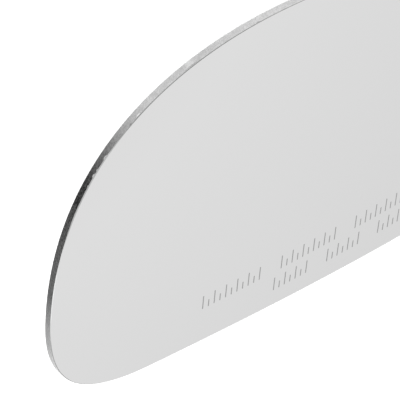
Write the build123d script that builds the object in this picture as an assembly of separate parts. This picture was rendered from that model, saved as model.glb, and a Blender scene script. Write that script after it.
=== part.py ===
from build123d import *
import math
import os

# A convex mirror glass for the door mirror of a car: one bent sheet of glass with a ground edge.
# It lies on the rim of its hollow back with the mirror face up. X runs along the glass to its outer end,
# Y runs up its face as it sits in the car, and Z points out of its face. Millimetres and degrees.

LENGTH = 190.0  # overall, along X
HEIGHT = 105.5  # overall, along Y
THICKNESS = 2.5  # of the sheet
FACE_RADIUS = 1400.0  # of the convex face, which is part of a ball
ARRIS = 0.25  # legs of the fine bevel round both faces

# Five points of the outline, from the middle of its length and height
INNER_END_DROP = 18.0  # the inner end's farthest point lies this far below the middle
CROWN_BACK = 15.9  # the highest point lies this far towards the inner end
OUTER_END_RISE = 1.5  # the outer end's farthest point lies this far above the middle
FOOT_REACH = 35.1  # from the inner end along to where the bottom edge begins
FOOT_RISE = 2.5  # height of that place above the lowest point
FOOT_FALL = 1.0  # degrees by which the bottom edge falls there
HEEL_REACH = 30.9  # from the outer end back to the lowest point

# How full each curve of the outline is: the share of the way that it keeps its first direction
SHOULDER_FULL_AT_END = 0.715
SHOULDER_FULL_AT_CROWN = 0.566
BROW_FULL_AT_CROWN = 0.63
BROW_FULL_AT_END = 0.64
HEEL_FULL_AT_END = 0.67
HEEL_FULL_AT_BOTTOM = 0.71
FOOT_FULL_AT_BOTTOM = 0.64
FOOT_FULL_AT_END = 0.73

# Where the ball's upright axis passes the outline when the glass has come to rest on its rim
REST_ASIDE = 1.6  # from the middle towards the outer end
REST_BELOW = 16.65  # below the middle

inner_end = Vector(-LENGTH / 2, -INNER_END_DROP)
crown = Vector(-CROWN_BACK, HEIGHT / 2)
outer_end = Vector(LENGTH / 2, OUTER_END_RISE)
heel = Vector(LENGTH / 2 - HEEL_REACH, -HEIGHT / 2)
foot = Vector(FOOT_REACH - LENGTH / 2, FOOT_RISE - HEIGHT / 2)
foot_run = Vector(1, 0).rotate(Axis.Z, -FOOT_FALL)


def corner(end, full_at_end, edge, full_at_edge, run):
    """The curve from an end of the glass, which it leaves upright, to a point of a long edge, along run."""
    way = edge - end
    return Bezier(
        end,
        end + Vector(0, full_at_end * way.Y),
        edge - run * (full_at_edge * way.X),
        edge,
    )


level = Vector(1, 0)
shoulder = corner(inner_end, SHOULDER_FULL_AT_END, crown, SHOULDER_FULL_AT_CROWN, level)
brow = corner(outer_end, BROW_FULL_AT_END, crown, BROW_FULL_AT_CROWN, level)
heel_corner = corner(outer_end, HEEL_FULL_AT_END, heel, HEEL_FULL_AT_BOTTOM, level)
foot_corner = corner(inner_end, FOOT_FULL_AT_END, foot, FOOT_FULL_AT_BOTTOM, foot_run)
third = (heel.X - foot.X) / 3
bottom = Bezier(foot, foot + foot_run * third, heel - level * third, heel)
outline = make_face([shoulder, brow, heel_corner, bottom, foot_corner])
outline = Pos(-REST_ASIDE, REST_BELOW) * outline

# The edge is cut square to the glass, so its sides all run to the middle of the ball. The outline holds at
# the level of the ends, and the blank reaches past both faces.
end_dip = FACE_RADIUS - math.sqrt(FACE_RADIUS**2 - (LENGTH / 2) ** 2)
past = end_dip + THICKNESS


def section(height):
    """The outline at a height above the level of the ends, drawn in towards the middle of the ball."""
    size = 1 + height / (FACE_RADIUS - end_dip)
    return Pos(0, 0, height - end_dip) * scale(outline, by=size)


def ball(radius):
    """A ball round the middle of the glass's curve, turned so that its poles lie far from the glass."""
    return Pos(0, 0, -FACE_RADIUS) * Rot(90, 0, 0) * Sphere(radius)


blank = loft([section(-2 * past), section(past)], ruled=True)
glass = (blank & ball(FACE_RADIUS)) - ball(FACE_RADIUS - THICKNESS)

faces = glass.faces().filter_by(GeomType.SPHERE)
glass = chamfer(faces.edges(), ARRIS)

# The middle of the glass stands over the origin, with its lowest rim on the ground
box = glass.bounding_box()
glass = Pos(-box.center().X, -box.center().Y, -box.min.Z) * glass

os.makedirs("parts", exist_ok=True)
export_step(glass, "parts/mirror_glass.step")
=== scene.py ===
import math

import bpy
import numpy as np
from bpy.props import (
    FloatProperty,
    FloatVectorProperty,
    IntProperty,
    IntVectorProperty,
    PointerProperty,
)
from mathutils import Matrix, Vector


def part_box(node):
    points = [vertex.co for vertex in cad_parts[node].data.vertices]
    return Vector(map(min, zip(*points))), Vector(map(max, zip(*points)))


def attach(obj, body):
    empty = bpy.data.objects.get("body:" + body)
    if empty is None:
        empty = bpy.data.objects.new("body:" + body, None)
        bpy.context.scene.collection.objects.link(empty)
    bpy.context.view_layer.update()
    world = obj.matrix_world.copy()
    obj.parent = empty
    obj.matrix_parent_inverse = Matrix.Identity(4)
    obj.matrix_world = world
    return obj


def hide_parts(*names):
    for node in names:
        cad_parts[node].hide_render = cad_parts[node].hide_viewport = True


bl_info = {
    "name": "Car Door Mirror Glass",
    "version": (1, 0, 0),
    "blender": (4, 5, 0),
    "location": "3D View > Sidebar > Mirror Glass",
    "description": "Dresses a convex car door mirror glass: mirror face, ground edge and etched ticks",
    "category": "Object",
}

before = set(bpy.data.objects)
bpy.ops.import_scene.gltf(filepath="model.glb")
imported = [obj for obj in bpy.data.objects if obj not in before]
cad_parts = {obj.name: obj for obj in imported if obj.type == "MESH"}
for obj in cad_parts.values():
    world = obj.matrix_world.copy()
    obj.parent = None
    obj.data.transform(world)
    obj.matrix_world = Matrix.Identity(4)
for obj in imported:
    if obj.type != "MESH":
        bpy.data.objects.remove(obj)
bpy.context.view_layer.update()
GLASS_LOW, GLASS_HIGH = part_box("mirror_glass")
MM = 0.001
SHARP_BEND = math.radians(20)  # a sharper bend between faces is shaded as an edge


def linear(hexa):
    """The sRGB colour of a hex string as linear red, green, blue and a full alpha."""
    srgb = np.array([int(hexa[i : i + 2], 16) for i in (1, 3, 5)]) / 255
    return (*np.where(srgb <= 0.04045, srgb / 12.92, ((srgb + 0.055) / 1.055) ** 2.4), 1.0)


class MirrorGlassSizes(bpy.types.PropertyGroup):
    """Sizes and colours of the bent sheet of glass"""

    length: FloatProperty(
        name="Length",
        description="Of the outline",
        default=190.0 * MM,
        unit="LENGTH",
    )
    height: FloatProperty(
        name="Height",
        description="Of the outline",
        default=105.5 * MM,
        unit="LENGTH",
    )
    thickness: FloatProperty(
        name="Thickness",
        description="Of the sheet",
        default=2.5 * MM,
        unit="LENGTH",
    )
    face_radius: FloatProperty(
        name="Face radius",
        description="Of the ball that the face is part of",
        default=1400.0 * MM,
        unit="LENGTH",
    )
    arris: FloatProperty(
        name="Arris",
        description="Legs of the fine bevel round both faces",
        default=0.25 * MM,
        unit="LENGTH",
    )
    inner_end_drop: FloatProperty(
        name="Inner end drop",
        description="Of the inner end below the middle",
        default=18.0 * MM,
        unit="LENGTH",
    )
    crown_back: FloatProperty(
        name="Crown back",
        description="From the middle to the highest point",
        default=15.9 * MM,
        unit="LENGTH",
    )
    outer_end_rise: FloatProperty(
        name="Outer end rise",
        description="Of the outer end above the middle",
        default=1.5 * MM,
        unit="LENGTH",
    )
    foot_reach: FloatProperty(
        name="Foot reach",
        description="From the inner end to the bottom edge",
        default=35.1 * MM,
        unit="LENGTH",
    )
    foot_rise: FloatProperty(
        name="Foot rise",
        description="Of that place above the lowest point",
        default=2.5 * MM,
        unit="LENGTH",
    )
    foot_fall: FloatProperty(
        name="Foot fall",
        description="Slope of the bottom edge there",
        default=math.radians(1.0),
        subtype="ANGLE",
    )
    heel_reach: FloatProperty(
        name="Heel reach",
        description="From the outer end to the lowest point",
        default=30.9 * MM,
        unit="LENGTH",
    )
    shoulder_full: FloatVectorProperty(
        name="Shoulder fullness",
        description="At the inner end and at the crown",
        size=2,
        default=(0.715, 0.566),
    )
    brow_full: FloatVectorProperty(
        name="Brow fullness",
        description="At the outer end and at the crown",
        size=2,
        default=(0.64, 0.63),
    )
    heel_full: FloatVectorProperty(
        name="Heel fullness",
        description="At the outer end and at the bottom",
        size=2,
        default=(0.67, 0.71),
    )
    foot_full: FloatVectorProperty(
        name="Foot fullness",
        description="At the inner end and at the bottom",
        size=2,
        default=(0.73, 0.64),
    )
    rest_axis: FloatVectorProperty(
        name="Rest axis",
        description="Where the ball's upright axis passes the outline",
        size=2,
        default=(1.6 * MM, -16.65 * MM),
        unit="LENGTH",
    )
    edge_step: FloatProperty(
        name="Edge step",
        description="Between points along the edge",
        default=0.7 * MM,
        unit="LENGTH",
    )
    rings: IntProperty(
        name="Rings",
        description="Of points on each face",
        default=18,
    )
    chip_places: FloatVectorProperty(
        name="Chip places",
        description="Along the edge from the inner end",
        size=8,
        default=[at * MM for at in (43.8, 46.9, 48.6, 52.5, 63.1, 66.1, 85.2, 107.7)],
        unit="LENGTH",
    )
    chip_lengths: FloatVectorProperty(
        name="Chip lengths",
        description="Along the edge",
        size=8,
        default=[long * MM for long in (1.0, 1.5, 1.1, 1.9, 0.7, 1.8, 4.6, 1.1)],
        unit="LENGTH",
    )
    chip_widths: FloatVectorProperty(
        name="Chip widths",
        description="Across the edge",
        size=8,
        default=[wide * MM for wide in (0.3, 0.5, 0.3, 0.42, 0.3, 0.4, 0.45, 0.15)],
        unit="LENGTH",
    )
    chip_tones: FloatVectorProperty(
        name="Chip tones",
        description="Above nought for a fresh, bright chip, below it for one filled with dirt",
        size=8,
        default=(0.4, 0.7, 0.6, 0.7, -0.6, 0.8, -0.45, -0.7),
    )
    chip_hollow: FloatProperty(
        name="Chip hollow",
        description="Depth of a chip into the glass, as a share of its width",
        default=0.3,
        subtype="FACTOR",
    )
    chip_strip: FloatProperty(
        name="Chip strip",
        description="Width of the strip beside the front bevel that the chips open up",
        default=0.03 * MM,
        unit="LENGTH",
    )
    chip_points: IntProperty(
        name="Chip points",
        description="Along each chip",
        default=13,
    )
    # Where the painted light and shade of the ground edge changes along it
    edge_light_and_shade_places: FloatVectorProperty(
        name="Grind places",
        description="Along the edge from the inner end, where the grind's grey changes",
        size=14,
        default=[
            at * MM
            for at in (-40, -17, -11, -8.3, 9.5, 37.7, 38.3, 46, 52.5, 69, 83.3, 85.2, 87.2, 111)
        ],
        unit="LENGTH",
    )
    # Where the bevel's painted highlight and shade change along the edge
    bevel_light_and_shade_places: FloatVectorProperty(
        name="Bevel places",
        description="Along the edge from the inner end, where the bevel's grey changes",
        size=8,
        default=[at * MM for at in (-8, 3, 13, 32, 56, 65, 90, 130)],
        unit="LENGTH",
    )
    stone_places: FloatVectorProperty(
        name="Stone places",
        description="Along the edge from the inner end, where the stone's reach changes",
        size=7,
        default=[at * MM for at in (14, 20, 28, 34, 52, 57, 80)],
        unit="LENGTH",
    )
    stone_reaches: FloatVectorProperty(
        name="Stone reaches",
        description="Share of the front bevel, from the face, that the stone reached there",
        size=7,
        default=(0.6, 0.5, 0.5, 0.95, 0.95, 0.7, 0.6),
    )
    # The next six greys are painted light and shade along the ground edge: lighter where it faces the light,
    # brightest at the foot, darker where it turns away over the inner end and low on the shoulder
    lit_foot_grind: FloatVectorProperty(
        name="Milky grind",
        description="Foot",
        size=4,
        subtype="COLOR",
        default=linear("#ADADAD"),
    )
    pale: FloatVectorProperty(
        name="Pale grind",
        description="Bottom, crown and beyond",
        size=4,
        subtype="COLOR",
        default=linear("#929292"),
    )
    frosted: FloatVectorProperty(
        name="Frosted grind",
        description="Beside the pale grind",
        size=4,
        subtype="COLOR",
        default=linear("#828282"),
    )
    shaded_grind: FloatVectorProperty(
        name="Smoky grind",
        description="Inner end and shoulder",
        size=4,
        subtype="COLOR",
        default=linear("#414141"),
    )
    clear: FloatVectorProperty(
        name="Clear grind",
        description="Either side of the deep grind",
        size=4,
        subtype="COLOR",
        default=linear("#252525"),
    )
    # Painted shade: the darkest grey, at one sharp step low on the shoulder
    darkest_shaded_grind: FloatVectorProperty(
        name="Deep grind",
        description="Where the wheel was set again",
        size=4,
        subtype="COLOR",
        default=linear("#121212"),
    )
    stoned: FloatVectorProperty(
        name="Stoned bevel",
        description="Far ends of the bevel and low on the shoulder",
        size=4,
        subtype="COLOR",
        default=linear("#747474"),
    )
    # Painted highlight: the bevel lighter at the inner end, where it catches the light
    bevel_highlight: FloatVectorProperty(
        name="Bright bevel",
        description="Inner end",
        size=4,
        subtype="COLOR",
        default=linear("#A7A7A7"),
    )
    # Painted shade: the bevel darker high on the shoulder
    bevel_shade: FloatVectorProperty(
        name="Dark bevel",
        description="High on the shoulder",
        size=4,
        subtype="COLOR",
        default=linear("#565656"),
    )
    silver: FloatVectorProperty(
        name="Silver",
        description="Mirror coat",
        size=4,
        subtype="COLOR",
        default=linear("#F4F4F4"),
    )
    lacquer: FloatVectorProperty(
        name="Lacquer",
        description="Back",
        size=4,
        subtype="COLOR",
        default=linear("#4A4C4D"),
    )
    fresh: FloatVectorProperty(
        name="Fresh chip",
        description="Freshly chipped glass",
        size=4,
        subtype="COLOR",
        default=linear("#B0B0B0"),
    )
    dirt: FloatVectorProperty(
        name="Dirt",
        description="In an old chip",
        size=4,
        subtype="COLOR",
        default=linear("#3A3A3A"),
    )


class TickSizes(bpy.types.PropertyGroup):
    """Sizes and colour of the two rows of etched ticks"""

    middle: FloatVectorProperty(
        name="Middle",
        description="Foot of the upper row's middle",
        size=2,
        default=(12.1 * MM, -38.3 * MM),
        unit="LENGTH",
    )
    tall: FloatProperty(
        name="Tall tick",
        description="Height of the tall ticks",
        default=4.8 * MM,
        unit="LENGTH",
    )
    short: FloatProperty(
        name="Short tick",
        description="Height of the short ticks",
        default=2.6 * MM,
        unit="LENGTH",
    )
    stroke: FloatProperty(
        name="Stroke",
        description="Width of a tick",
        default=0.36 * MM,
        unit="LENGTH",
    )
    lead: FloatProperty(
        name="Lead",
        description="From row to row",
        default=7.17 * MM,
        unit="LENGTH",
    )
    step: FloatProperty(
        name="Step",
        description="From tall tick to tall tick",
        default=4.17 * MM,
        unit="LENGTH",
    )
    groups: IntVectorProperty(
        name="Groups",
        description="Of ticks in each row",
        size=2,
        default=(4, 3),
    )
    group_ticks: IntVectorProperty(
        name="Group ticks",
        description="Tall ticks of a group in each row",
        size=2,
        default=(6, 4),
    )
    lift: FloatProperty(
        name="Lift",
        description="Of the frosted skin over the face",
        default=0.012 * MM,
        unit="LENGTH",
    )
    root: FloatProperty(
        name="Root",
        description="Depth of a tick under the face",
        default=0.04 * MM,
        unit="LENGTH",
    )
    round_points: IntProperty(
        name="Round points",
        description="Round each end of a tick",
        default=9,
    )
    frost: FloatVectorProperty(
        name="Frost",
        description="Etched glass",
        size=4,
        subtype="COLOR",
        default=linear("#7C7C7C"),
    )


class StageSizes(bpy.types.PropertyGroup):
    """Camera, floor and light"""

    eye: FloatVectorProperty(
        name="Eye",
        description="Place of the camera",
        size=3,
        default=[at * MM for at in (-422.70, 434.10, 389.32)],
        subtype="TRANSLATION",
    )
    aim: FloatVectorProperty(
        name="Aim",
        description="Point that the camera looks at",
        size=3,
        default=[at * MM for at in (-46.20, 2.30, 4.75)],
        subtype="TRANSLATION",
    )
    roll: FloatProperty(
        name="Roll",
        description="Of the camera",
        default=math.radians(126.98),
        subtype="ANGLE",
    )
    lens: FloatProperty(
        name="Lens",
        description="Focal length on a sensor 36 mm wide",
        default=233.4,
        unit="CAMERA",
    )
    floor_size: FloatProperty(
        name="Floor",
        description="Side of the floor",
        default=24.0,
        unit="LENGTH",
    )
    floor_colour: FloatVectorProperty(
        name="Floor colour",
        description="White paper",
        size=4,
        subtype="COLOR",
        default=linear("#F2F2F2"),
    )
    dome_heights: FloatVectorProperty(
        name="Dome heights",
        description="Nought level with the floor and one overhead, where the dome's light changes",
        size=7,
        default=(0.0, 0.2, 0.43, 0.66, 0.76, 0.95, 1.0),
    )
    dome_lights: FloatVectorProperty(
        name="Dome lights",
        description="Of the dome at those heights",
        size=7,
        default=(0.25, 0.40, 0.74, 0.80, 0.78, 0.72, 0.45),
    )
    key_far: FloatProperty(
        name="Key distance",
        description="Of the key light",
        default=3.0,
        unit="LENGTH",
    )
    key_size: FloatProperty(
        name="Key size",
        description="Side of the key light",
        default=0.7,
        unit="LENGTH",
    )
    key_power: FloatProperty(
        name="Key power",
        description="Of the key light",
        default=165.0,
        unit="POWER",
    )


def add(tree, kind, links=None, **settings):
    """A new node of the kind, with its settings. links gives an input socket a value or another node's
    output."""
    node = tree.nodes.new(kind)
    for name, value in settings.items():
        setattr(node, name, value)
    for socket, value in (links or {}).items():
        if isinstance(value, bpy.types.NodeSocket):
            tree.links.new(value, node.inputs[socket])
        else:
            node.inputs[socket].default_value = value
    return node


def new_material(name):
    """A node material with nothing in it yet, and its tree."""
    material = bpy.data.materials.new(name)
    material.use_nodes = True
    material.node_tree.nodes.clear()
    return material, material.node_tree


def silvered_face(glass):
    """Metal coat behind polished glass: a clean mirror. A faint haze in its roughness, in patches 28 mm
    across, keeps it from being perfectly even."""
    material, tree = new_material("silvered_face")
    place = add(tree, "ShaderNodeTexCoord")
    haze = add(
        tree,
        "ShaderNodeTexNoise",
        {"Vector": place.outputs["Object"], "Scale": 1 / (28 * MM), "Detail": 2.0},
    )
    rough = add(
        tree,
        "ShaderNodeMapRange",
        {"Value": haze.outputs["Fac"], "To Min": 0.01, "To Max": 0.03},
    )
    shader = add(
        tree,
        "ShaderNodeBsdfPrincipled",
        {"Base Color": glass.silver, "Metallic": 1.0, "Roughness": rough.outputs["Result"]},
    )
    add(tree, "ShaderNodeOutputMaterial", {"Surface": shader.outputs["BSDF"]})
    return material


def tone_along(tree, wrap, places, greys):
    """The grey at each place along the edge, blended evenly from each given place to the next."""
    first, last = places[0], places[-1]
    part = add(tree, "ShaderNodeSeparateXYZ", {"Vector": wrap.outputs["UV"]})
    along = add(
        tree,
        "ShaderNodeMapRange",
        {"Value": part.outputs["X"], "From Min": first, "From Max": last},
    )
    tone = add(tree, "ShaderNodeValToRGB", {"Fac": along.outputs["Result"]})
    stops = tone.color_ramp.elements
    for place in places[1:-1]:
        stops.new((place - first) / (last - first))
    for stop, grey in zip(stops, greys):
        stop.color = grey
    return tone.outputs["Color"]


def with_chips(tree, glass, colour):
    """The colour, turned bright where the piece's chip attribute is above nought and dirty where it is
    below."""
    chip = add(tree, "ShaderNodeAttribute", attribute_name="chip")
    bright = add(
        tree,
        "ShaderNodeMix",
        {"Factor": chip.outputs["Fac"], "A": colour, "B": glass.fresh},
        data_type="RGBA",
    )
    below = add(tree, "ShaderNodeMath", {0: chip.outputs["Fac"], 1: -1.0}, operation="MULTIPLY")
    dirty = add(
        tree,
        "ShaderNodeMix",
        {"Factor": below.outputs["Value"], "A": bright.outputs["Result"], "B": glass.dirt},
        data_type="RGBA",
    )
    return dirty.outputs["Result"]


def ground_edge(glass):
    """Glass ground flat on a fine wheel: matt, with strokes of the wheel aslant across the edge and specks
    where its grit left pits. Its grey along the edge is painted light and shade: pale round the foot and up
    the shoulder, brightest at the foot, with a lighter patch high on the shoulder, and dark between them
    over the inner end, darkest at one sharp step."""
    material, tree = new_material("ground_edge")
    wrap = add(tree, "ShaderNodeUVMap", uv_map="EdgeWrap")
    # Wheel strokes 0.9 mm apart and 2.4 mm long, leaning by 30 degrees, with finer ones between them. A fine
    # wheel leaves them about a quarter as wide, so they are drawn coarser in order to show.
    lean = add(
        tree,
        "ShaderNodeMapping",
        {
            "Vector": wrap.outputs["UV"],
            "Scale": (0.9 * MM, 2.4 * MM, 1.0),
            "Rotation": (0, 0, math.radians(-30)),
        },
        vector_type="TEXTURE",
    )
    strokes = add(
        tree,
        "ShaderNodeTexNoise",
        {"Vector": lean.outputs["Vector"], "Scale": 1.0, "Detail": 4.0, "Roughness": 0.65},
    )
    shade = add(
        tree,
        "ShaderNodeMapRange",
        {"Value": strokes.outputs["Fac"], "To Min": 0.65, "To Max": 1.35},
    )
    # Painted light and shade along the edge: pale at the foot, dark over the inner end, pale again up the
    # shoulder and at a lighter patch high on it
    foot = (glass.pale, glass.lit_foot_grind, glass.pale)
    into_shade = (glass.frosted, glass.shaded_grind, glass.clear)
    lit_patch = (glass.frosted, glass.pale, glass.frosted)
    greys = (*foot, *into_shade, glass.darkest_shaded_grind, *reversed(into_shade), *lit_patch, glass.pale)
    ground = add(
        tree,
        "ShaderNodeMix",
        {
            "Factor": 1.0,
            "A": tone_along(tree, wrap, glass.edge_light_and_shade_places, greys),
            "B": shade.outputs["Result"],
        },
        data_type="RGBA",
        blend_type="MULTIPLY",
    )
    # Pits of the grit, some pale and some dark. Real ones are some hundredths of a millimetre wide and are
    # drawn at 0.5 mm in order to show. Noise lies mostly between 0.3 and 0.7.
    pits = add(
        tree,
        "ShaderNodeTexNoise",
        {"Vector": wrap.outputs["UV"], "Scale": 1 / (0.5 * MM), "Detail": 1.0},
    )
    specks = add(
        tree,
        "ShaderNodeMapRange",
        {"Value": pits.outputs["Fac"], "From Min": 0.3, "From Max": 0.7, "To Min": -0.02, "To Max": 0.02},
    )
    pitted = add(
        tree,
        "ShaderNodeMix",
        {"Factor": 1.0, "A": ground.outputs["Result"], "B": specks.outputs["Result"]},
        data_type="RGBA",
        blend_type="ADD",
        clamp_result=True,
    )
    bump = add(
        tree,
        "ShaderNodeBump",
        {"Height": strokes.outputs["Fac"], "Strength": 0.2, "Distance": 0.03 * MM},
    )
    shader = add(
        tree,
        "ShaderNodeBsdfPrincipled",
        {
            "Base Color": with_chips(tree, glass, pitted.outputs["Result"]),
            "Roughness": 0.55,
            "Specular IOR Level": 0.12,
            "IOR": 1.52,
            "Normal": bump.outputs["Normal"],
        },
    )
    add(tree, "ShaderNodeOutputMaterial", {"Surface": shader.outputs["BSDF"]})
    return material


def stoned_bevel(glass):
    """The same glass taken off with a finer stone: a thin grey line between face and edge, a little uneven,
    with a painted highlight at the inner end and painted shade high on the shoulder."""
    material, tree = new_material("stoned_bevel")
    wrap = add(tree, "ShaderNodeUVMap", uv_map="EdgeWrap")
    # Strokes of the stone lie along the bevel, 2 mm long and 0.3 mm apart. A fine stone leaves several in
    # that width, so they are drawn coarser in order to show.
    stretch = add(
        tree,
        "ShaderNodeMapping",
        {"Vector": wrap.outputs["UV"], "Scale": (2.0 * MM, 0.3 * MM, 1.0)},
        vector_type="TEXTURE",
    )
    strokes = add(
        tree,
        "ShaderNodeTexNoise",
        {"Vector": stretch.outputs["Vector"], "Scale": 1.0, "Detail": 3.0},
    )
    shade = add(
        tree,
        "ShaderNodeMapRange",
        {"Value": strokes.outputs["Fac"], "To Min": 0.62, "To Max": 1.38},
    )
    # Painted highlight at the inner end and painted shade high on the shoulder
    greys = (
        glass.stoned,
        glass.bevel_highlight,
        glass.bevel_highlight,
        glass.stoned,
        glass.stoned,
        glass.bevel_shade,
        glass.bevel_shade,
        glass.stoned,
    )
    stoned = add(
        tree,
        "ShaderNodeMix",
        {
            "Factor": 1.0,
            "A": tone_along(tree, wrap, glass.bevel_light_and_shade_places, greys),
            "B": shade.outputs["Result"],
        },
        data_type="RGBA",
        blend_type="MULTIPLY",
    )
    shader = add(
        tree,
        "ShaderNodeBsdfPrincipled",
        {
            "Base Color": with_chips(tree, glass, stoned.outputs["Result"]),
            "Roughness": 0.4,
            "Specular IOR Level": 0.12,
            "IOR": 1.52,
        },
    )
    add(tree, "ShaderNodeOutputMaterial", {"Surface": shader.outputs["BSDF"]})
    return material


def back_lacquer(glass):
    """Mirror lacquer poured on as a curtain and dried satin: dark grey, with faint streaks that the curtain
    left along the sheet, 90 mm long and 7 mm wide, a sheen that varies in clouds 30 mm across, and an orange
    peel 1.6 mm from crest to crest."""
    material, tree = new_material("back_lacquer")
    place = add(tree, "ShaderNodeTexCoord")
    peel = add(
        tree,
        "ShaderNodeTexNoise",
        {"Vector": place.outputs["Object"], "Scale": 1 / (1.6 * MM), "Detail": 3.0},
    )
    cloud = add(
        tree,
        "ShaderNodeTexNoise",
        {"Vector": place.outputs["Object"], "Scale": 1 / (30 * MM), "Detail": 2.0},
    )
    # Noise lies mostly between 0.3 and 0.7
    sheen = add(
        tree,
        "ShaderNodeMapRange",
        {"Value": cloud.outputs["Fac"], "From Min": 0.3, "From Max": 0.7, "To Min": 0.38, "To Max": 0.46},
    )
    run = add(
        tree,
        "ShaderNodeMapping",
        {"Vector": place.outputs["Object"], "Scale": (90 * MM, 7 * MM, 7 * MM)},
        vector_type="TEXTURE",
    )
    streaks = add(
        tree,
        "ShaderNodeTexNoise",
        {"Vector": run.outputs["Vector"], "Scale": 1.0, "Detail": 3.0},
    )
    shade = add(
        tree,
        "ShaderNodeMapRange",
        {"Value": streaks.outputs["Fac"], "From Min": 0.3, "From Max": 0.7, "To Min": 0.92, "To Max": 1.08},
    )
    grey = add(
        tree,
        "ShaderNodeMix",
        {"Factor": 1.0, "A": glass.lacquer, "B": shade.outputs["Result"]},
        data_type="RGBA",
        blend_type="MULTIPLY",
    )
    bump = add(
        tree,
        "ShaderNodeBump",
        {"Height": peel.outputs["Fac"], "Strength": 1.0, "Distance": 0.05 * MM},
    )
    shader = add(
        tree,
        "ShaderNodeBsdfPrincipled",
        {
            "Base Color": grey.outputs["Result"],
            "Roughness": sheen.outputs["Result"],
            "Normal": bump.outputs["Normal"],
        },
    )
    add(tree, "ShaderNodeOutputMaterial", {"Surface": shader.outputs["BSDF"]})
    return material


def frosted_etch(ticks):
    """Glass etched matt through the coat: a soft grey that gives back no reflection, finely grained."""
    material, tree = new_material("frosted_etch")
    place = add(tree, "ShaderNodeTexCoord")
    # Etched grain is some hundredths of a millimetre wide and is drawn at 0.12 mm in order to show
    grain = add(
        tree,
        "ShaderNodeTexNoise",
        {"Vector": place.outputs["Object"], "Scale": 1 / (0.12 * MM), "Detail": 2.0},
    )
    shade = add(
        tree,
        "ShaderNodeMapRange",
        {"Value": grain.outputs["Fac"], "To Min": 0.8, "To Max": 1.2},
    )
    grey = add(
        tree,
        "ShaderNodeMix",
        {"Factor": 1.0, "A": ticks.frost, "B": shade.outputs["Result"]},
        data_type="RGBA",
        blend_type="MULTIPLY",
    )
    shader = add(
        tree,
        "ShaderNodeBsdfPrincipled",
        {"Base Color": grey.outputs["Result"], "Roughness": 0.8, "Specular IOR Level": 0.1},
    )
    add(tree, "ShaderNodeOutputMaterial", {"Surface": shader.outputs["BSDF"]})
    return material


def matt_paper(stage):
    """Uncoated white paper: quite matt, with a faint tooth. The tooth is drawn at 0.8 mm, coarser than the
    real one, in order to show."""
    material, tree = new_material("matt_paper")
    place = add(tree, "ShaderNodeTexCoord")
    tooth = add(
        tree,
        "ShaderNodeTexNoise",
        {"Vector": place.outputs["Object"], "Scale": 1 / (0.8 * MM)},
    )
    bump = add(
        tree,
        "ShaderNodeBump",
        {"Height": tooth.outputs["Fac"], "Strength": 0.05, "Distance": 0.05 * MM},
    )
    shader = add(
        tree,
        "ShaderNodeBsdfPrincipled",
        {
            "Base Color": stage.floor_colour,
            "Roughness": 0.95,
            "Specular IOR Level": 0.0,
            "Normal": bump.outputs["Normal"],
        },
    )
    add(tree, "ShaderNodeOutputMaterial", {"Surface": shader.outputs["BSDF"]})
    return material


def soft_dome(stage):
    """A world that is one soft dome of light: dim along the floor, brightest half way up and dimmer
    overhead."""
    world = bpy.data.worlds.new("soft_dome")
    world.use_nodes = True
    tree = world.node_tree
    tree.nodes.clear()
    look = add(tree, "ShaderNodeTexCoord")
    way = add(tree, "ShaderNodeSeparateXYZ", {"Vector": look.outputs["Generated"]})
    dome = add(tree, "ShaderNodeValToRGB", {"Fac": way.outputs["Z"]})
    stops = dome.color_ramp.elements
    for height in stage.dome_heights[1:-1]:
        stops.new(height)
    for stop, light in zip(stops, stage.dome_lights):
        stop.color = (light, light, light, 1.0)
    back = add(tree, "ShaderNodeBackground", {"Color": dome.outputs["Color"], "Strength": 1.0})
    add(tree, "ShaderNodeOutputWorld", {"Surface": back.outputs["Background"]})
    return world


def cubic(a, b, c, d, count=1500):
    """Points of the cubic curve that leaves a towards b and comes to d from c, the last one left out."""
    t = np.arange(count)[:, None] / count
    return (1 - t) ** 3 * a + 3 * (1 - t) ** 2 * t * b + 3 * (1 - t) * t**2 * c + t**3 * d


def outline(glass):
    """The closed outline as dense points, clockwise from the outer end, with their outward directions and
    their distance along the edge from the inner end, which counts up the shoulder. Four corners and the
    bottom run are cubic curves: a corner leaves its end of the glass upright and meets a long edge along
    that edge."""
    half_length, half_height = glass.length / 2, glass.height / 2
    inner = np.array([-half_length, -glass.inner_end_drop])
    crown = np.array([-glass.crown_back, half_height])
    outer = np.array([half_length, glass.outer_end_rise])
    heel = np.array([half_length - glass.heel_reach, -half_height])
    foot = np.array([glass.foot_reach - half_length, glass.foot_rise - half_height])
    level = np.array([1.0, 0.0])
    fall = np.array([math.cos(glass.foot_fall), -math.sin(glass.foot_fall)])

    def corner(end, edge, full, run):
        """The four points of the curve from an end of the glass to a long edge that runs that way."""
        way = edge - end
        return end, end + [0, full[0] * way[1]], edge - run * full[1] * way[0], edge

    third = (heel[0] - foot[0]) / 3
    to_inner = (
        corner(outer, heel, glass.heel_full, level),
        (heel, heel - level * third, foot + fall * third, foot),
        corner(inner, foot, glass.foot_full, fall)[::-1],
    )
    to_outer = (
        corner(inner, crown, glass.shoulder_full, level),
        corner(outer, crown, glass.brow_full, level)[::-1],
    )
    first = np.vstack([cubic(*run) for run in to_inner])
    points = np.vstack([first, *(cubic(*run) for run in to_outer)])
    closed = np.vstack([points, points[:1]])
    far = np.concatenate([[0.0], np.cumsum(np.hypot(*np.diff(closed, axis=0).T))])
    slope = np.roll(points, -1, 0) - np.roll(points, 1, 0)
    slope /= np.hypot(*slope.T)[:, None]
    outward = np.column_stack([-slope[:, 1], slope[:, 0]])
    return closed, np.vstack([outward, outward[:1]]), far - far[len(first)]


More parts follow.
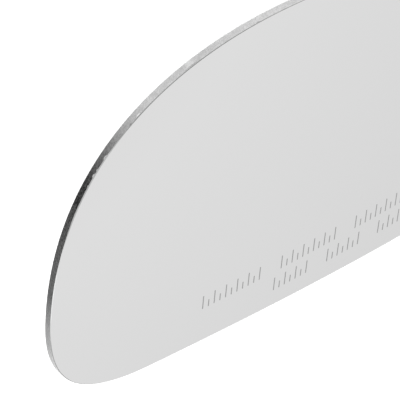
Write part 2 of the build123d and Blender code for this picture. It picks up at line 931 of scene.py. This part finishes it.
def on_glass(glass, xy, depth):
    """Points of the sheet under places of the outline's plane, at a depth under the face. Each lies on the
    straight line from the place, at the level of the ends, to the middle of the ball, at the ball's radius
    less the depth."""
    away = np.array(xy) - np.array(glass.rest_axis)
    ends = math.sqrt(glass.face_radius**2 - (glass.length / 2) ** 2)
    line = np.concatenate([away, np.full(away.shape[:-1] + (1,), ends)], axis=-1)
    line /= np.linalg.norm(line, axis=-1, keepdims=True)
    points = line * (glass.face_radius - np.asarray(depth))[..., None]
    points[..., :2] += np.array(glass.rest_axis)
    points[..., 2] += GLASS_HIGH.z - glass.face_radius
    return points


def edge_places(glass):
    """Places along the edge, even steps apart with finer ones over each chip: how far each lies from the
    inner end, its point of the outline and its outward direction, and then the whole edge's length."""
    dense, dense_out, dense_far = outline(glass)
    even = np.arange(dense_far[0], dense_far[-1] - glass.edge_step / 2, glass.edge_step)
    over_chip = np.linspace(-0.5, 0.5, glass.chip_points)
    fine = np.array(glass.chip_places)[:, None] + np.array(glass.chip_lengths)[:, None] * over_chip
    # Rounded to a micrometre, so that places that fall together become one
    far = np.unique(np.round(np.concatenate([even, fine.ravel()]), 6))
    edge = np.column_stack([np.interp(far, dense_far, dense[:, i]) for i in (0, 1)])
    out = np.column_stack([np.interp(far, dense_far, dense_out[:, i]) for i in (0, 1)])
    out /= np.hypot(*out.T)[:, None]
    return far, edge, out, dense_far[-1] - dense_far[0]


def chip_swell(glass, far):
    """Width across the edge and tone of the chips at places along it. A chip's width grows and shrinks along
    it as a parabola does, and its tone as the root of that parabola."""
    places, lengths = np.array(glass.chip_places)[:, None], np.array(glass.chip_lengths)[:, None]
    swell = np.clip(1 - (2 * (far - places) / lengths) ** 2, 0, None)
    wide = (swell * np.array(glass.chip_widths)[:, None]).sum(0)
    tone = (swell**0.5 * np.array(glass.chip_tones)[:, None]).sum(0)
    return wide, tone


def sheet_rows(glass, edge, out, stone_reach, chip_wide):
    """The sheet as rows of points that each run once round the outline, and a pole for each face. Rings of
    the face draw its rim in towards the middle of the outline, seven rows run over the edge, and rings of
    the back draw its rim in again. The poles are the middles of the face and of the back."""
    arris, thick, nought = glass.arris, glass.thickness, np.zeros(len(edge))
    chip_end = arris + glass.chip_strip + chip_wide
    # Each row over the edge is a distance in from the outline and a depth under the face: rim of the face,
    # end of the stone's reach on its bevel, lower side of that bevel, floor of the chips, their lower side,
    # upper side of the back's bevel, rim of the back
    over_edge = (
        (nought + arris, nought),
        ((1 - stone_reach) * arris, stone_reach * arris),
        (nought, nought + arris),
        (glass.chip_hollow * chip_wide, (arris + chip_end) / 2),
        (nought, chip_end),
        (nought, nought + thick - arris),
        (nought + arris, nought + thick),
    )
    inset = np.array([row[0] for row in over_edge])[..., None]
    depth = np.array([row[1] for row in over_edge])
    sides = on_glass(glass, edge - inset * out, depth)

    middle = edge.mean(0)
    share = (np.arange(1, glass.rings) / glass.rings)[:, None, None]
    rings = middle + share * (edge - arris * out - middle)
    face = on_glass(glass, rings, np.zeros(rings.shape[:2]))
    back = on_glass(glass, rings[::-1], np.full(rings.shape[:2], thick))
    poles = on_glass(glass, np.array([middle, middle]), np.array([0.0, thick]))
    return np.concatenate([face, sides, back]), poles


def closed_faces(count, around):
    """Faces over a count of rows, each with as many points around: strips from row to row, which close round
    the outline, and then a fan from the first row to its pole and one from the last row to its pole."""
    number = np.arange(count * around).reshape(count, around)
    after = np.roll(number, -1, 1)
    strips = np.stack([number[:-1], after[:-1], after[1:], number[1:]], -1).reshape(-1, 4)
    face_pole, back_pole = count * around, count * around + 1
    face_fan = np.stack([np.full(around, face_pole), after[0], number[0]], -1)
    back_fan = np.stack([np.full(around, back_pole), number[-1], after[-1]], -1)
    return strips.tolist() + face_fan.tolist() + back_fan.tolist()


def edge_wrap(rows, rim, far, whole):
    """UV of each corner of those faces, with the edge laid out flat: along it from the inner end, and across
    it from the row of the face's rim, both in metres."""
    count, around = rows.shape[:2]
    steps = np.linalg.norm(np.diff(rows, axis=0), axis=2)
    across = np.concatenate([np.zeros((1, around)), np.cumsum(steps, 0)])
    across -= across[rim]
    wide = np.concatenate([across, across[:, :1]], 1)
    start, end = far, np.append(far[1:], far[0] + whole)
    strip_u = np.broadcast_to(np.stack([start, end, end, start], -1), (count - 1, around, 4))
    strip_v = np.stack([wide[:-1, :-1], wide[:-1, 1:], wide[1:, 1:], wide[1:, :-1]], -1)
    face_u = np.stack([(start + end) / 2, end, start], -1)
    back_u = np.stack([(start + end) / 2, start, end], -1)
    u = np.concatenate([strip_u.ravel(), face_u.ravel(), back_u.ravel()])
    v = np.concatenate([strip_v.ravel(), np.repeat(across[0], 3), np.repeat(across[-1], 3)])
    return np.column_stack([u, v])


def tick_places(ticks):
    """Middle, foot and height of every tick. A row has groups of tall ticks a step apart, with a step left
    free between groups and a short tick midway between the tall ones of a group."""
    rows = []
    for row, (groups, size) in enumerate(zip(ticks.groups, ticks.group_ticks)):
        cell = (np.arange(groups)[:, None] * (size + 1) + np.arange(size)).ravel()
        tall = (cell - (groups * (size + 1) - 2) / 2) * ticks.step
        short = tall.reshape(groups, size)[:, :-1].ravel() + ticks.step / 2
        x = np.concatenate([tall, short]) + ticks.middle[0]
        foot = np.full(len(x), ticks.middle[1] - row * ticks.lead)
        height = np.concatenate([np.full(len(tall), ticks.tall), np.full(len(short), ticks.short)])
        rows.append([x, foot, height])
    return np.concatenate(rows, axis=1)


def tick_bars(ticks):
    """Outlines of the ticks, anticlockwise: each is an upright bar with round ends, made of two half circles
    of which the upper one is lifted by the bar's height less its width."""
    x, foot, height = tick_places(ticks)[..., None]
    count, radius = ticks.round_points, ticks.stroke / 2
    turn = np.concatenate([np.linspace(0, np.pi, count), np.linspace(np.pi, 2 * np.pi, count)])
    upper = np.repeat([1.0, 0.0], count)
    bar_x = x + radius * np.cos(turn)
    bar_y = foot + radius * (1 + np.sin(turn)) + upper * (height - ticks.stroke)
    return np.stack([bar_x, bar_y], -1)


def finish_piece(name, points, faces, materials, face_materials):
    """A mesh object at the origin with its faces, its materials and smooth shading broken at its sharp
    edges."""
    mesh = bpy.data.meshes.new(name)
    mesh.from_pydata(points.reshape(-1, 3), [], faces)
    for material in materials:
        mesh.materials.append(material)
    mesh.polygons.foreach_set("material_index", np.asarray(face_materials, np.int32))
    mesh.shade_smooth()
    mesh.set_sharp_from_angle(angle=SHARP_BEND)
    piece = bpy.data.objects.new(name, mesh)
    bpy.context.scene.collection.objects.link(piece)
    return piece


class MIRRORGLASS_OT_glass(bpy.types.Operator):
    """Make the bent sheet: mirror face, bevels, ground edge with its chips, and lacquered back"""

    bl_idname = "mirrorglass.glass"
    bl_label = "Make Glass"

    def execute(self, context):
        glass = context.scene.mirror_glass
        far, edge, out, whole = edge_places(glass)
        chip_wide, chip_tone = chip_swell(glass, far)
        stone_reach = np.interp(far, glass.stone_places, glass.stone_reaches)
        rows, poles = sheet_rows(glass, edge, out, stone_reach, chip_wide)
        count, around = rows.shape[:2]
        rim = glass.rings - 1  # number of the row on the face's rim

        # The CAD node's facets leave its box a hair smaller, so the points are brought on to that box
        points = np.vstack([rows.reshape(-1, 3), poles])
        box_low, box_high = np.array(GLASS_LOW), np.array(GLASS_HIGH)
        points = box_low + (points - points.min(0)) * (box_high - box_low) / np.ptp(points, 0)

        # Materials of the strips, outwards over the face, over bevel, edge and bevel, and in over the back.
        # Past the stone's reach, the front bevel is as the wheel left it.
        materials = [silvered_face(glass), stoned_bevel(glass), ground_edge(glass), back_lacquer(glass)]
        face, bevel, ground, back = range(len(materials))
        strips = [face] * rim + [bevel] + [ground] * 4 + [bevel] + [back] * rim
        face_materials = np.repeat(strips + [face, back], around)
        piece = finish_piece(
            "silvered_glass", points, closed_faces(count, around), materials, face_materials
        )

        wrap = piece.data.uv_layers.new(name="EdgeWrap")
        wrap.uv.foreach_set("vector", edge_wrap(rows, rim, far, whole).ravel().astype(np.float32))
        # Chips colour their floor, and dirt comes up to the bevel
        tone = np.zeros((count, around))
        tone[rim + 2] = np.minimum(chip_tone, 0)
        tone[rim + 3] = chip_tone
        chip = piece.data.attributes.new("chip", "FLOAT", "POINT")
        chip.data.foreach_set("value", np.append(tone, np.zeros(len(poles))).astype(np.float32))

        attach(piece, "root")
        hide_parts("mirror_glass")
        return {"FINISHED"}


class MIRRORGLASS_OT_ticks(bpy.types.Operator):
    """Make the two rows of fine ticks etched low on the face"""

    bl_idname = "mirrorglass.ticks"
    bl_label = "Make Etched Ticks"

    def execute(self, context):
        glass, ticks = context.scene.mirror_glass, context.scene.mirror_ticks
        bars = tick_bars(ticks)
        many, corners = bars.shape[:2]
        skin = on_glass(glass, bars, np.full((many, corners), -ticks.lift))
        root = on_glass(glass, bars, np.full((many, corners), ticks.root))

        # Each tick is a skin, a root and a wall between them
        number = np.arange(many * 2 * corners).reshape(many, 2, corners)
        after = np.roll(number, -1, 2)
        walls = np.stack([number[:, 1], after[:, 1], after[:, 0], number[:, 0]], -1).reshape(-1, 4)
        faces = number[:, 0].tolist() + number[:, 1, ::-1].tolist() + walls.tolist()
        piece = finish_piece(
            "etched_ticks",
            np.stack([skin, root], 1),
            faces,
            [frosted_etch(ticks)],
            np.zeros(len(faces)),
        )
        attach(piece, "root")
        return {"FINISHED"}


class MIRRORGLASS_OT_stage(bpy.types.Operator):
    """Make the pale floor, the soft light and the camera"""

    bl_idname = "mirrorglass.stage"
    bl_label = "Make Stage"

    def execute(self, context):
        scene, stage = context.scene, context.scene.mirror_stage
        scene.view_settings.view_transform = "Standard"
        scene.world = soft_dome(stage)

        half = stage.floor_size / 2
        corners = np.array([[-half, -half, 0], [half, -half, 0], [half, half, 0], [-half, half, 0]])
        finish_piece("floor", corners, [(0, 1, 2, 3)], [matt_paper(stage)], [0])

        # The key light hangs behind the camera, so that shadows fall behind the glass. It stays out of the
        # mirror.
        eye, aim = Vector(stage.eye), Vector(stage.aim)
        towards = (eye - aim).normalized()
        facing = (-towards).to_track_quat("-Z", "Y")
        lamp = bpy.data.lights.new("key_softbox", "AREA")
        lamp.size = stage.key_size
        lamp.energy = stage.key_power
        key = bpy.data.objects.new("key_softbox", lamp)
        key.location = aim + towards * stage.key_far
        key.rotation_euler = facing.to_euler()
        key.visible_glossy = False
        scene.collection.objects.link(key)

        lens = bpy.data.cameras.new("camera")
        lens.sensor_width = 36.0
        lens.lens = stage.lens
        lens.clip_start, lens.clip_end = 0.01, 100.0
        camera = bpy.data.objects.new("camera", lens)
        turn = facing.to_matrix() @ Matrix.Rotation(stage.roll, 3, "Z")
        camera.matrix_world = Matrix.Translation(eye) @ turn.to_4x4()
        scene.collection.objects.link(camera)
        scene.camera = camera
        return {"FINISHED"}


class MIRRORGLASS_PT_panel(bpy.types.Panel):
    """Sizes and makers of the mirror glass"""

    bl_label = "Mirror Glass"
    bl_idname = "MIRRORGLASS_PT_panel"
    bl_space_type = "VIEW_3D"
    bl_region_type = "UI"
    bl_category = "Mirror Glass"

    def draw(self, context):
        scene = context.scene
        for group in (scene.mirror_glass, scene.mirror_ticks, scene.mirror_stage):
            box = self.layout.box()
            for name in group.__annotations__:
                box.prop(group, name)
        for maker in (MIRRORGLASS_OT_glass, MIRRORGLASS_OT_ticks, MIRRORGLASS_OT_stage):
            self.layout.operator(maker.bl_idname)


CLASSES = (
    MirrorGlassSizes,
    TickSizes,
    StageSizes,
    MIRRORGLASS_OT_glass,
    MIRRORGLASS_OT_ticks,
    MIRRORGLASS_OT_stage,
    MIRRORGLASS_PT_panel,
)


def register():
    """Makes the classes known and gives every scene its sizes."""
    for cls in CLASSES:
        bpy.utils.register_class(cls)
    bpy.types.Scene.mirror_glass = PointerProperty(type=MirrorGlassSizes)
    bpy.types.Scene.mirror_ticks = PointerProperty(type=TickSizes)
    bpy.types.Scene.mirror_stage = PointerProperty(type=StageSizes)


def unregister():
    """Takes the sizes and the classes away again."""
    del bpy.types.Scene.mirror_stage
    del bpy.types.Scene.mirror_ticks
    del bpy.types.Scene.mirror_glass
    for cls in reversed(CLASSES):
        bpy.utils.unregister_class(cls)


def main():
    """Makes the pieces and the stage."""
    register()
    bpy.ops.mirrorglass.glass()
    bpy.ops.mirrorglass.ticks()
    bpy.ops.mirrorglass.stage()


if __name__ == "__main__":
    main()
